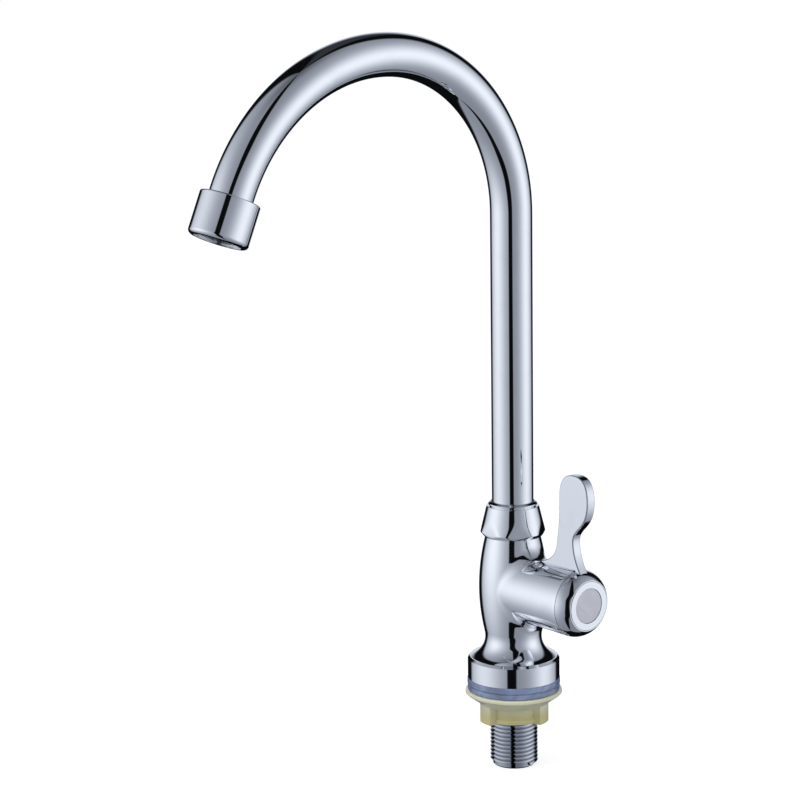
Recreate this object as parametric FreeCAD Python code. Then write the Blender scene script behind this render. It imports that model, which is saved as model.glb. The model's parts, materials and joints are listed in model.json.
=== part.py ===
import FreeCAD, Part
import math
import os

# Deck-mounted kitchen tap with a swivel gooseneck spout and a side lever.
# Lengths are millimetres and angles are degrees. The worktop's top face is at height 0,
# +Z points up the threaded shank, the spout points to -Y and the lever's valve to +X.

# Clearances that every fit takes its sizes from
running_gap = 0.05
screwed_gap = 0.05
sliding_gap = 0.10
thread_gap = 0.15
bolted_gap = 0.40
hub_gap = 0.20
visible_gap = 0.40

# Shank with a G 1/2 parallel pipe thread
thread_major_r = 20.955 / 2
thread_pitch = 25.4 / 14
shank_drop = 37.2
shank_engagement = 11.0
shank_bore_r = 7.0
shank_chamfer = 0.6
thread_above_deck = 1.5
ridge_root = 0.3
turns_per_run = 6

# Deck gasket, clamp washer and plastic lock nut
gasket_r = 20.4
gasket_thickness = 3.0
gasket_edge = 0.5
washer_r = 20.3
washer_thickness = 2.6
nut_flange_r = 21.3
nut_rim_height = 1.9
nut_cone_height = 4.2
nut_neck_r = 15.0
nut_collar_r = 12.2
nut_collar_length = 7.2
nut_band_extra_r = 0.7
nut_band_height = 2.1
nut_lug_reach_r = 15.6
nut_lug_width = 8.0
nut_lug_extra_length = 0.7
nut_lug_count = 3
nut_lug_turn = -100.0

# Foot and bulb of the cast body
flange_r = 20.2
rim_bevel = 1.0
rim_flat = 0.4
flare_r = 9.5
waist_r = 12.4
bulb_r = 15.0
bulb_curve_r = 90.0
barrel_z = 44.2
shoulder_z = 66.7
spigot_r = 11.0
spigot_height = 5.8
spout_seat_depth = 14.0

# Valve barrel on the side of the body
barrel_root_r = 13.9
barrel_end_r = 14.7
barrel_end_x = 41.2
barrel_blend = 7.5
crown_start_x = 39.7
crown_r = 9.5
inlet_way_r = 5.5
seat_x = 9.0
seat_hole_r = 4.5
chamber_r = 10.3
mouth_r = 12.2
mouth_depth = 10.2
outlet_way_r = 2.8

# Six-sided coupling nut that holds the spout
coupling_height = 15.3
coupling_cone_r = 14.3
coupling_cone_top_r = 11.45
coupling_flat_distance = 13.3
coupling_chamfer_height = 1.7
coupling_foot_r = 12.9
coupling_collar_r = 10.7
coupling_collar_height = 2.0
coupling_collar_edge = 1.0
coupling_groove_r = 10.2
coupling_groove_height = 0.5
coupling_facets = 6
coupling_turn = -1.4
coupling_step_wall = 0.4

# Gooseneck spout
tube_r = 9.1
tube_wall = 0.9
riser_top_z = 208.1
crook_r = 70.8
crook_turn = 86.2
tip_curve_r = 83.3
tip_curve_turn = 70.3
tip_straight = 1.6

# Swivel fitting in the foot of the spout
swivel_ring_r = 10.4
swivel_ring_height = 2.3
slip_washer_height = 1.2
plug_bore_r = 6.3
plug_floor_gap = 1.5
socket_stub_height = 7.0
spout_o_ring_section_r = 0.85
spout_o_ring_low = 3.2
spout_o_ring_spacing = 4.8
groove_slack = 0.35

# Aerator on the outlet
aerator_r = 12.4
aerator_length = 17.8
aerator_top_wall = 1.6
aerator_lip = 0.9
aerator_lip_r = 9.7
aerator_mouth_fillet = 1.9
aerator_top_fillet = 0.7
aerator_bore_r = 11.0
sleeve_length = 9.0
aerator_washer_height = 2.0
insert_wall = 1.5
diffuser_height = 1.2
screen_height = 0.8
screen_hole_r = 0.75
screen_hole_pitch = 2.3
screen_hole_rings = 3
diffuser_hole_r = 0.6
diffuser_hole_circle_r = 6.0
diffuser_holes = 12

# Quarter-turn ceramic cartridge
seal_height = 2.3
seal_bore_r = 5.2
disc_r = 8.5
disc_height = 3.0
disc_port_r = 7.0
disc_port_inner_r = 2.6
disc_port_angle = 84.0
driver_height = 3.7
driver_key_width = 3.6
driver_key_depth = 1.2
cage_wall = 0.9
cage_window = 7.0
collar_height = 2.8
collar_across_flats = 21.0
nose_r = 7.0
nose_height = 1.0
spindle_r = 3.95
spindle_o_ring_section_r = 0.53
spindle_o_ring_first = 3.0
spindle_o_ring_spacing = 3.2
cartridge_o_ring_section_r = 0.8
clip_height = 0.7
clip_r = 5.2
clip_depth = 0.7
clip_opening = 3.2
spline_r = 3.7
spline_depth = 0.4
spline_teeth = 16
spline_length = 4.6

# Lever handle with its hub
hub_front_x = 47.15
hub_boss_r = 6.4
hub_web = 1.4
ring_r = 10.7
ring_bore_r = 7.7
ring_rise = 0.15
ring_depth = 1.8
ring_edge = 0.2
index_recess = 0.2
index_thickness = 1.5
screw_r = 2.0
screw_head_r = 3.5
screw_head_height = 2.0
screw_length = 8.0
screw_socket_across_flats = 2.5
screw_socket_depth = 1.2
blade_thickness = 4.8
blade_clearance = 0.5
blade_edge = 0.7
blade_tip_top_x = 39.8
blade_tip_top_height = 55.9
blade_tip_left_x = 31.3
blade_tip_left_height = 46.0
blade_tip_right_x = 48.6
blade_tip_right_height = 45.0
blade_toe_x = 20.8
blade_left_foot_x = 29.6
blade_left_foot_height = 24.2
blade_waist_x = 39.8
blade_waist_height = 26.8
blade_heel_x = 45.0
blade_heel_height = 12.2

# Sizes worked out from the ones above
V = FreeCAD.Vector
thread_depth = 0.640327 * thread_pitch
thread_minor_r = thread_major_r - thread_depth
thread_flank = math.tan(math.radians(27.5))
thread_root_half = 0.11 * thread_pitch
thread_start_z = -shank_drop + 0.4 * thread_pitch
thread_low_z = thread_start_z + 0.5 * thread_pitch
deck_hole_r = thread_major_r + bolted_gap
nut_top_z = -washer_thickness
nut_rim_z = nut_top_z - nut_rim_height
nut_neck_z = nut_rim_z - nut_cone_height
nut_collar_z = nut_neck_z - nut_collar_length
nut_bottom_z = nut_collar_z - nut_lug_extra_length

bulb_centre_r = bulb_r - bulb_curve_r
flare_centre_r = waist_r + flare_r
flare_reach = bulb_curve_r + flare_r
waist_z = barrel_z - math.sqrt(flare_reach ** 2 - (flare_centre_r - bulb_centre_r) ** 2)
flare_end_r = flange_r - rim_bevel - rim_flat
flare_end_cos = (flare_centre_r - flare_end_r) / flare_r
flange_top_z = waist_z - flare_r * math.sqrt(1 - flare_end_cos ** 2)
shoulder_r = bulb_centre_r + math.sqrt(bulb_curve_r ** 2 - (shoulder_z - barrel_z) ** 2)

spigot_top_z = shoulder_z + spigot_height
spout_bore_r = tube_r
spout_floor_z = spigot_top_z - spout_seat_depth
plug_r = spout_bore_r - sliding_gap
plug_bottom_z = spout_floor_z + plug_floor_gap
swivel_ring_z = spigot_top_z + sliding_gap
tube_bottom_z = swivel_ring_z + swivel_ring_height
slip_washer_z = tube_bottom_z + running_gap
ceiling_z = slip_washer_z + slip_washer_height + running_gap
coupling_bottom_z = shoulder_z + visible_gap
coupling_top_z = coupling_bottom_z + coupling_height
spout_o_ring_r = plug_r - spout_o_ring_section_r + 0.6 * sliding_gap

tip_turn = crook_turn + tip_curve_turn
sleeve_start = tip_straight + aerator_top_wall + sliding_gap
tube_end = sleeve_start + sleeve_length
insert_start = tube_end + aerator_washer_height
insert_end = tip_straight + aerator_length - aerator_lip
insert_r = aerator_bore_r - sliding_gap
insert_bore_r = insert_r - insert_wall

fixed_disc_x = seat_x + seal_height
moving_disc_x = fixed_disc_x + disc_height + running_gap
driver_x = moving_disc_x + disc_height
cage_bore_r = disc_r + sliding_gap
cage_r = cage_bore_r + cage_wall
cage_end_x = driver_x + driver_height + sliding_gap
mouth_floor_x = barrel_end_x - mouth_depth
collar_end_x = mouth_floor_x + collar_height
nose_end_x = collar_end_x + nose_height
clip_x = nose_end_x + sliding_gap
spline_x = clip_x + clip_height + 2 * sliding_gap
spindle_end_x = spline_x + spline_length
spindle_bore_r = spindle_r + running_gap
spindle_o_ring_r = spindle_r - spindle_o_ring_section_r + 0.6 * running_gap
cartridge_o_ring_r = chamber_r - cartridge_o_ring_section_r - running_gap

hub_x = barrel_end_x + hub_gap
ring_front_x = hub_front_x + ring_rise
ring_back_x = ring_front_x - ring_depth
socket_end_x = spindle_end_x + visible_gap
screw_seat_x = max(hub_x, socket_end_x) + hub_web
blade_bottom_r = max(barrel_end_r, barrel_root_r) + blade_clearance


def lathe(points):
    """Turn a closed outline of (radius, height) corners about the Z axis."""
    corners = [V(radius, 0, height) for radius, height in points]
    face = Part.Face(Part.makePolygon(corners + corners[:1]))
    return face.revolve(V(0, 0, 0), V(0, 0, 1), 360)


def tube(inner_r, outer_r, low, high, edge=0.0):
    """A round ring whose outer edges may be bevelled."""
    points = [(inner_r, low), (outer_r - edge, low)]
    if edge:
        points += [(outer_r, low + edge), (outer_r, high - edge)]
    points += [(outer_r - edge, high), (inner_r, high)]
    return lathe(points)


def rod(radius, low, high):
    return Part.makeCylinder(radius, high - low, V(0, 0, low))


def o_ring(ring_r, section_r, height):
    return Part.makeTorus(ring_r, section_r, V(0, 0, height))


def regular_prism(sides, corner_r, low, high, turn=0.0):
    """An upright prism with equal sides."""
    corners = []
    for index in range(sides):
        angle = math.radians(turn + 360.0 * index / sides)
        corners.append(V(corner_r * math.cos(angle), corner_r * math.sin(angle), low))
    face = Part.Face(Part.makePolygon(corners + corners[:1]))
    return face.extrude(V(0, 0, high - low))


def spline_prism(outer_r, inner_r, low, high):
    """A toothed shaft with straight splines."""
    corners = []
    for index in range(2 * spline_teeth):
        radius = outer_r if index % 2 == 0 else inner_r
        angle = math.pi * index / spline_teeth
        corners.append(V(radius * math.cos(angle), radius * math.sin(angle), low))
    face = Part.Face(Part.makePolygon(corners + corners[:1]))
    return face.extrude(V(0, 0, high - low))


def on_barrel(shape):
    """Lay a shape made about +Z along the valve barrel, whose axis runs to +X."""
    turned = shape.copy()
    turned.rotate(V(0, 0, 0), V(0, 1, 0), 90)
    turned.translate(V(0, 0, barrel_z))
    return turned


def spout_point(turn, curve_r, centre_y, centre_z, offset=0.0):
    angle = math.radians(turn)
    radius = curve_r + offset
    return V(0, centre_y + radius * math.cos(angle), centre_z + radius * math.sin(angle))


def outlet_centre():
    """Centre of the second curve of the spout, which meets the first one smoothly."""
    angle = math.radians(crook_turn)
    step = crook_r - tip_curve_r
    return -crook_r + step * math.cos(angle), riser_top_z + step * math.sin(angle)


def on_outlet(shape):
    """Carry a shape made about +Z to the end of the spout's last curve."""
    centre_y, centre_z = outlet_centre()
    turned = shape.copy()
    turned.rotate(V(0, 0, 0), V(1, 0, 0), tip_turn)
    turned.translate(spout_point(tip_turn, tip_curve_r, centre_y, centre_z))
    return turned


def helical_bar(inner_r, inner_half, outer_r, outer_half, low, high):
    """A bar of tapered section that winds up the shank at the thread's pitch."""
    helix = Part.makeHelix(thread_pitch, high - low, thread_minor_r)
    helix.translate(V(0, 0, low))
    corners = [
        V(inner_r, 0, low - inner_half),
        V(outer_r, 0, low - outer_half),
        V(outer_r, 0, low + outer_half),
        V(inner_r, 0, low + inner_half),
    ]
    section = Part.makePolygon(corners + corners[:1])
    return Part.Wire(helix.Edges).makePipeShell([section], True, True)


def thread_runs(inner_r, inner_half, outer_r, outer_half, low, turns):
    """A long helical ridge in short runs that join end to end."""
    runs = []
    for first in range(0, turns, turns_per_run):
        last = min(first + turns_per_run, turns)
        runs.append(helical_bar(
            inner_r, inner_half, outer_r, outer_half,
            low + first * thread_pitch, low + last * thread_pitch))
    return runs


def threaded_shank():
    """Bored shank: a core that carries the thread's ridge, with a plain end up in the body."""
    top = gasket_thickness + shank_engagement
    bottom = -shank_drop
    core = lathe([
        (shank_bore_r, bottom),
        (thread_minor_r - shank_chamfer, bottom),
        (thread_minor_r, bottom + shank_chamfer),
        (thread_minor_r, thread_above_deck),
        (thread_major_r, thread_above_deck + thread_depth),
        (thread_major_r, top),
        (shank_bore_r, top),
    ])
    foot_half = thread_pitch / 2 - thread_root_half
    crest_half = foot_half - thread_depth * thread_flank
    turns = math.floor((thread_above_deck - thread_pitch / 2 - thread_low_z) / thread_pitch)
    return core.multiFuse(thread_runs(
        thread_minor_r - ridge_root, foot_half + ridge_root * thread_flank,
        thread_major_r, crest_half, thread_low_z, turns))


def deck_gasket():
    return tube(deck_hole_r, gasket_r, 0, gasket_thickness, gasket_edge)


def clamp_washer():
    return tube(deck_hole_r, washer_r, -washer_thickness, 0, gasket_edge)


def lock_nut():
    """Plastic nut with a cone-backed flange, a collar and finger lugs."""
    bore_r = thread_major_r + thread_gap
    band_r = nut_collar_r + nut_band_extra_r
    turned = lathe([
        (bore_r, nut_top_z),
        (nut_flange_r - gasket_edge, nut_top_z),
        (nut_flange_r, nut_top_z - gasket_edge),
        (nut_flange_r, nut_rim_z + gasket_edge),
        (nut_flange_r - gasket_edge, nut_rim_z),
        (nut_neck_r, nut_neck_z),
        (nut_collar_r, nut_neck_z),
        (nut_collar_r, nut_collar_z + nut_band_height),
        (band_r, nut_collar_z + nut_band_height - nut_band_extra_r),
        (band_r, nut_collar_z),
        (bore_r, nut_collar_z),
    ])
    nut = turned
    lug_top = nut_rim_z - 0.5 * nut_cone_height
    hub = rod(bore_r + nut_band_extra_r, nut_bottom_z - 1, lug_top + 1)
    limit = rod(nut_lug_reach_r, nut_bottom_z, lug_top)
    for index in range(nut_lug_count):
        lug = Part.makeBox(
            nut_lug_reach_r, nut_lug_width, lug_top - nut_bottom_z,
            V(0, -nut_lug_width / 2, nut_bottom_z))
        lug = lug.common(limit).cut(hub)
        lug.rotate(V(0, 0, 0), V(0, 0, 1), nut_lug_turn + 360.0 * index / nut_lug_count)
        nut = nut.fuse(lug)
    return nut.fuse(nut_thread(bore_r))


def nut_thread(bore_r):
    """Ridge inside the nut, which lies in the groove of the shank at rest."""
    slack = thread_gap / math.cos(math.atan(thread_flank))
    crest_r = thread_minor_r + thread_gap
    root_r = bore_r + ridge_root

    def half(radius):
        return thread_root_half + (radius - thread_minor_r) * thread_flank - slack

    lead = 0.5 * thread_pitch
    first = math.ceil((nut_collar_z + lead - thread_start_z) / thread_pitch)
    low = thread_start_z + first * thread_pitch
    turns = math.floor((nut_top_z - lead - low) / thread_pitch)
    return helical_bar(crest_r, half(crest_r), root_r, half(root_r), low, low + turns * thread_pitch)


def body_outline():
    """Outside of the foot, waist and bulb, made of lines and two tangent arcs."""
    rim_z = flange_top_z - rim_bevel
    to_bulb = math.hypot(flare_centre_r - bulb_centre_r, barrel_z - waist_z)
    away_r = (bulb_centre_r - flare_centre_r) / to_bulb
    away_z = (barrel_z - waist_z) / to_bulb
    join = V(flare_centre_r + flare_r * away_r, 0, waist_z + flare_r * away_z)
    flare_end = V(flare_end_r, 0, flange_top_z)
    waist = V(waist_r, 0, waist_z)
    bulb = V(bulb_r, 0, barrel_z)
    shoulder = V(shoulder_r, 0, shoulder_z)
    spigot_low = V(spigot_r, 0, shoulder_z)
    spigot_top = V(spigot_r, 0, spigot_top_z)
    axis_top = V(0, 0, spigot_top_z)
    axis_low = V(0, 0, gasket_thickness)
    foot_low = V(flange_r, 0, gasket_thickness)
    foot_rim = V(flange_r, 0, rim_z)
    bevel_end = V(flange_r - rim_bevel, 0, flange_top_z)
    edges = [
        Part.makeLine(axis_low, foot_low),
        Part.makeLine(foot_low, foot_rim),
        Part.makeLine(foot_rim, bevel_end),
        Part.makeLine(bevel_end, flare_end),
        Part.Arc(flare_end, waist, join).toShape(),
        Part.Arc(join, bulb, shoulder).toShape(),
        Part.makeLine(shoulder, spigot_low),
        Part.makeLine(spigot_low, spigot_top),
        Part.makeLine(spigot_top, axis_top),
        Part.makeLine(axis_top, axis_low),
    ]
    return Part.Face(Part.Wire(edges))


def crotch_edges(shape):
    """Edges where the barrel leaves the bulb."""
    found = []
    for edge in shape.Edges:
        box = edge.BoundBox
        beside = 0 < box.XMin and box.XMax < bulb_r + 1
        near = abs(box.Center.z - barrel_z) < barrel_root_r + 1
        if beside and near and box.ZLength > 1 and box.YLength > 1:
            found.append(edge)
    return found


def crown_point(x):
    """A point on the rounded end that the barrel and the lever's hub share."""
    return V(barrel_end_r - crown_r + math.sqrt(crown_r ** 2 - (x - crown_start_x) ** 2), 0, x)


def crowned(corners, low_x, high_x):
    """Turn an outline about +Z: corners up to the crown, the crown, and back to the axis."""
    low = crown_point(low_x)
    high = crown_point(high_x)
    path = [V(radius, 0, x) for radius, x in corners] + [low]
    edges = [Part.makeLine(start, end) for start, end in zip(path, path[1:])]
    edges.append(Part.Arc(low, crown_point((low_x + high_x) / 2), high).toShape())
    edges.append(Part.makeLine(high, V(0, 0, high_x)))
    edges.append(Part.makeLine(V(0, 0, high_x), path[0]))
    return Part.Face(Part.Wire(edges)).revolve(V(0, 0, 0), V(0, 0, 1), 360)


def body_casting():
    """Foot, bulb and valve barrel in one casting, with its waterways."""
    bulb = body_outline().revolve(V(0, 0, 0), V(0, 0, 1), 360)
    barrel = on_barrel(crowned([(0, 0), (barrel_root_r, 0)], crown_start_x, barrel_end_x))
    outside = bulb.fuse(barrel)
    outside = outside.makeFillet(barrel_blend, crotch_edges(outside))
    socket = rod(thread_major_r + screwed_gap, 0, gasket_thickness + shank_engagement)
    inlet = rod(inlet_way_r, 0, barrel_z + inlet_way_r)
    seat_hole = on_barrel(rod(seat_hole_r, 0, seat_x + 1))
    chamber = on_barrel(rod(chamber_r, seat_x, barrel_end_x))
    mouth = on_barrel(rod(mouth_r, mouth_floor_x, barrel_end_x + 1))
    seat_top = rod(spout_bore_r, spout_floor_z, spigot_top_z + 1)
    drop = Part.makeCylinder(
        outlet_way_r, chamber_r, V(spout_bore_r / 2, 0, spout_floor_z + 1), V(1, 0, -1))
    waterways = socket.multiFuse([inlet, seat_hole, chamber, mouth, seat_top, drop])
    return outside.cut(waterways)


def coupling_nut():
    """Cone with six upright spanner flats, a chamfered foot and a collar above a groove."""
    lip_z = coupling_bottom_z + coupling_chamfer_height
    facet_top_z = coupling_top_z - coupling_collar_height
    corner_r = coupling_flat_distance / math.cos(math.pi / coupling_facets)
    corners = []
    for index in range(coupling_facets):
        angle = math.radians(coupling_turn + 360.0 * index / coupling_facets)
        corners.append(V(corner_r * math.cos(angle), corner_r * math.sin(angle), coupling_bottom_z))
    outline = Part.makePolygon(corners + corners[:1])
    facets = Part.Face(outline).extrude(V(0, 0, coupling_height))
    envelope = lathe([
        (0, coupling_bottom_z),
        (coupling_foot_r, coupling_bottom_z),
        (coupling_cone_r, lip_z),
        (coupling_cone_top_r, facet_top_z),
        (0, facet_top_z),
    ])
    groove_top_z = facet_top_z + coupling_groove_height
    collar = lathe([
        (0, facet_top_z - coupling_groove_height),
        (coupling_groove_r, facet_top_z - coupling_groove_height),
        (coupling_groove_r, groove_top_z),
        (coupling_collar_r, groove_top_z),
        (coupling_collar_r, coupling_top_z - coupling_collar_edge),
        (coupling_collar_r - coupling_collar_edge, coupling_top_z),
        (0, coupling_top_z),
    ])
    nut = facets.common(envelope).fuse(collar)
    bore = rod(spigot_r + screwed_gap, coupling_bottom_z - 1, spigot_top_z + sliding_gap)
    step = rod(spigot_r - coupling_step_wall, coupling_bottom_z, ceiling_z)
    lip = rod(tube_r + 3 * sliding_gap, coupling_bottom_z, coupling_top_z + 1)
    return nut.cut(bore.multiFuse([step, lip])).removeSplitter()


def spout_path():
    centre_y, centre_z = outlet_centre()
    start = V(0, 0, tube_bottom_z)
    riser_top = V(0, 0, riser_top_z)
    first_mid = spout_point(crook_turn / 2, crook_r, -crook_r, riser_top_z)
    first_end = spout_point(crook_turn, crook_r, -crook_r, riser_top_z)
    second_mid = spout_point(crook_turn + tip_curve_turn / 2, tip_curve_r, centre_y, centre_z)
    second_end = spout_point(tip_turn, tip_curve_r, centre_y, centre_z)
    heading = math.radians(tip_turn)
    along = V(0, -math.sin(heading), math.cos(heading))
    return Part.Wire([
        Part.makeLine(start, riser_top),
        Part.Arc(riser_top, first_mid, first_end).toShape(),
        Part.Arc(first_end, second_mid, second_end).toShape(),
        Part.makeLine(second_end, second_end + along * tube_end),
    ])


def spout_tube():
    """Bent tube: straight riser, two tangent bends and a short straight tip."""
    path = spout_path()
    solids = []
    for radius in (tube_r, tube_r - tube_wall):
        circle = Part.Wire(Part.makeCircle(radius, V(0, 0, tube_bottom_z), V(0, 0, 1)))
        solids.append(path.makePipeShell([circle], True, False))
    return solids[0].cut(solids[1])


def grooved(shape, centre_r, section_r, heights, outer_r):
    """Cut the grooves that hold sealing rings into a shaft."""
    floor_r = centre_r - section_r - 0.02
    half = section_r + groove_slack
    for height in heights:
        shape = shape.cut(tube(floor_r, outer_r + 1, height - half, height + half))
    return shape


def spout_o_ring_heights():
    first = plug_bottom_z + spout_o_ring_low
    return [first, first + spout_o_ring_spacing]


def spout_end_fitting():
    """Turned plug with the collar that the coupling nut holds down."""
    stub_r = tube_r - tube_wall - running_gap
    plug = lathe([
        (plug_bore_r, plug_bottom_z),
        (plug_r - 0.5, plug_bottom_z),
        (plug_r, plug_bottom_z + 0.5),
        (plug_r, swivel_ring_z),
        (swivel_ring_r, swivel_ring_z),
        (swivel_ring_r, tube_bottom_z),
        (stub_r, tube_bottom_z),
        (stub_r, tube_bottom_z + socket_stub_height),
        (plug_bore_r, tube_bottom_z + socket_stub_height),
    ])
    return grooved(plug, spout_o_ring_r, spout_o_ring_section_r, spout_o_ring_heights(), plug_r)


def spout_o_rings():
    rings = [o_ring(spout_o_ring_r, spout_o_ring_section_r, z) for z in spout_o_ring_heights()]
    return Part.makeCompound(rings)


def spout_slip_washer():
    outer_r = spigot_r - coupling_step_wall - sliding_gap
    return tube(tube_r + 2 * sliding_gap, outer_r, slip_washer_z, slip_washer_z + slip_washer_height)


def aerator_sleeve():
    return on_outlet(tube(tube_r, aerator_bore_r - sliding_gap, sleeve_start, tube_end))


def aerator_housing():
    """Round shell with a top wall round the tube and a lip at its mouth."""
    low = tip_straight
    high = tip_straight + aerator_length
    shell = tube(tube_r + 2 * sliding_gap, aerator_r, low, high)
    shell = shell.cut(rod(aerator_bore_r, low + aerator_top_wall, high - aerator_lip))
    shell = shell.cut(rod(aerator_lip_r, high - aerator_lip - 1, high + 1))
    top_edges = []
    mouth_edges = []
    for edge in shell.Edges:
        if abs(edge.BoundBox.XMax - aerator_r) > 0.01 or edge.BoundBox.ZLength > 0.01:
            continue
        (top_edges if edge.BoundBox.ZMin < low + 1 else mouth_edges).append(edge)
    shell = shell.makeFillet(aerator_top_fillet, top_edges)
    mouth_edges = [
        edge for edge in shell.Edges
        if abs(edge.BoundBox.XMax - aerator_r) < 0.01
        and edge.BoundBox.ZLength < 0.01
        and edge.BoundBox.ZMin > high - 0.01
    ]
    return on_outlet(shell.makeFillet(aerator_mouth_fillet, mouth_edges))


def aerator_washer():
    inner_r = tube_r - tube_wall
    return on_outlet(tube(inner_r, aerator_bore_r - sliding_gap, tube_end, insert_start))


def aerator_insert():
    """Plastic cup between the diffuser and the screen."""
    shell = tube(insert_bore_r, insert_r, insert_start, insert_end)
    ledge_low = insert_start + diffuser_height
    ledge_high = insert_end - screen_height
    ledge = tube(insert_bore_r - 0.8, insert_bore_r + 0.2, ledge_low, ledge_high)
    return on_outlet(shell.fuse(ledge).removeSplitter())


def flow_diffuser():
    disc = rod(insert_bore_r - running_gap, insert_start, insert_start + diffuser_height)
    holes = []
    for index in range(diffuser_holes):
        hole = rod(diffuser_hole_r, insert_start - 1, insert_end)
        hole.translate(V(diffuser_hole_circle_r, 0, 0))
        hole.rotate(V(0, 0, 0), V(0, 0, 1), 360.0 * index / diffuser_holes)
        holes.append(hole)
    return on_outlet(disc.cut(Part.makeCompound(holes)))


def aerator_screen():
    """Outlet screen with its holes on a honeycomb pattern."""
    low = insert_end - screen_height
    screen = rod(insert_bore_r - running_gap, low, insert_end)
    holes = []
    for row in range(-screen_hole_rings, screen_hole_rings + 1):
        for column in range(-screen_hole_rings, screen_hole_rings + 1):
            if abs(row + column) > screen_hole_rings:
                continue
            x = screen_hole_pitch * (column + row / 2)
            y = screen_hole_pitch * row * math.sqrt(3) / 2
            holes.append(Part.makeCylinder(screen_hole_r, screen_height + 2, V(x, y, low - 1)))
    return on_outlet(screen.cut(Part.makeCompound(holes)))


def disc_ports(low, high, turn):
    """Two wedge-shaped water ports, opposite each other."""
    ports = []
    ring = tube(disc_port_inner_r, disc_port_r, low, high)
    for side in (0, 180):
        wedge = Part.makeCylinder(disc_port_r + 1, high - low, V(0, 0, low), V(0, 0, 1), disc_port_angle)
        wedge.rotate(V(0, 0, 0), V(0, 0, 1), turn + side - disc_port_angle / 2)
        ports.append(ring.common(wedge))
    return Part.makeCompound(ports)


def cartridge_seal():
    return on_barrel(tube(seal_bore_r, disc_r - 2 * sliding_gap, seat_x, fixed_disc_x))


def fixed_disc():
    disc = rod(disc_r, fixed_disc_x, fixed_disc_x + disc_height)
    return on_barrel(disc.cut(disc_ports(fixed_disc_x - 1, moving_disc_x + 1, 0)))


def moving_disc():
    """Upper ceramic disc, closed at rest, with the slot that the driver's key turns."""
    top = moving_disc_x + disc_height
    disc = rod(disc_r - sliding_gap, moving_disc_x, top)
    disc = disc.cut(disc_ports(moving_disc_x - 1, top - driver_key_depth - 0.6, 90))
    slot_width = driver_key_width + 2 * running_gap
    slot = Part.makeBox(
        2 * disc_r, slot_width, driver_key_depth + 1,
        V(-disc_r, -slot_width / 2, top - driver_key_depth - running_gap))
    return on_barrel(disc.cut(slot))


def disc_driver():
    """Round driver with a key below and a square socket for the spindle above."""
    body = rod(disc_r - 2 * sliding_gap, driver_x, driver_x + driver_height)
    key = Part.makeBox(
        2 * disc_port_r, driver_key_width, driver_key_depth + 0.5,
        V(-disc_port_r, -driver_key_width / 2, driver_x - driver_key_depth))
    socket_r = spindle_r + running_gap
    socket = regular_prism(4, socket_r, driver_x + driver_height / 2, driver_x + driver_height + 1, 45)
    return on_barrel(body.fuse(key).cut(socket))


def spindle_ring_places():
    first = cage_end_x + spindle_o_ring_first
    return [first, first + spindle_o_ring_spacing]


def cartridge_spindle():
    """Square foot, sealed shaft, clip groove and splined end with a tapped hole."""
    foot_low = driver_x + driver_height / 2 + running_gap
    shaft_low = driver_x + driver_height + running_gap
    foot = regular_prism(4, spindle_r, foot_low, shaft_low + 0.5, 45)
    shaft = rod(spindle_r, shaft_low, spline_x)
    shaft = grooved(shaft, spindle_o_ring_r, spindle_o_ring_section_r, spindle_ring_places(), spindle_r)
    groove = tube(spindle_r - clip_depth, spindle_r + 1, clip_x, clip_x + clip_height + sliding_gap)
    splines = spline_prism(spline_r, spline_r - spline_depth, spline_x - 0.5, spindle_end_x)
    spindle = foot.multiFuse([shaft, splines]).cut(groove)
    tapped = rod(screw_r + running_gap, screw_seat_x - screw_length - 1, spindle_end_x + 1)
    return on_barrel(spindle.cut(tapped))


def spindle_o_rings():
    rings = [o_ring(spindle_o_ring_r, spindle_o_ring_section_r, x) for x in spindle_ring_places()]
    return on_barrel(Part.makeCompound(rings))


def spindle_clip():
    low = clip_x + sliding_gap / 2
    ring = tube(spindle_r - clip_depth + running_gap, clip_r, low, low + clip_height)
    opening = Part.makeBox(clip_r + 1, clip_opening, clip_height + 2, V(0, -clip_opening / 2, low - 1))
    return on_barrel(ring.cut(opening))


def cartridge_housing():
    """Brass headwork: a caged foot with windows, a threaded middle and a hexagon collar."""
    cage_low = seat_x + 0.3 * seal_height
    middle_r = chamber_r - screwed_gap
    body = lathe([
        (cage_bore_r, cage_low),
        (cage_r, cage_low),
        (cage_r, cage_end_x),
        (middle_r, cage_end_x),
        (middle_r, mouth_floor_x + 0.5),
        (nose_r, mouth_floor_x + 0.5),
        (nose_r, nose_end_x),
        (spindle_bore_r, nose_end_x),
        (spindle_bore_r, cage_end_x),
        (cage_bore_r, cage_end_x),
    ])
    collar_corner_r = collar_across_flats / 2 / math.cos(math.pi / 6)
    collar = regular_prism(6, collar_corner_r, mouth_floor_x, collar_end_x)
    collar = collar.common(rod(mouth_r - 3 * sliding_gap, mouth_floor_x, collar_end_x))
    collar = collar.cut(rod(nose_r - 0.5, mouth_floor_x - 1, collar_end_x + 1))
    window_low = moving_disc_x
    window = Part.makeBox(
        2 * cage_r + 2, cage_window, driver_x - window_low,
        V(-cage_r - 1, -cage_window / 2, window_low))
    ring_x = mouth_floor_x - cartridge_o_ring_section_r - groove_slack
    housing = body.fuse(collar).cut(window)
    housing = grooved(
        housing, cartridge_o_ring_r, cartridge_o_ring_section_r, [ring_x], chamber_r)
    return on_barrel(housing)


def cartridge_o_ring():
    ring_x = mouth_floor_x - cartridge_o_ring_section_r - groove_slack
    return on_barrel(o_ring(cartridge_o_ring_r, cartridge_o_ring_section_r, ring_x))


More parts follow.
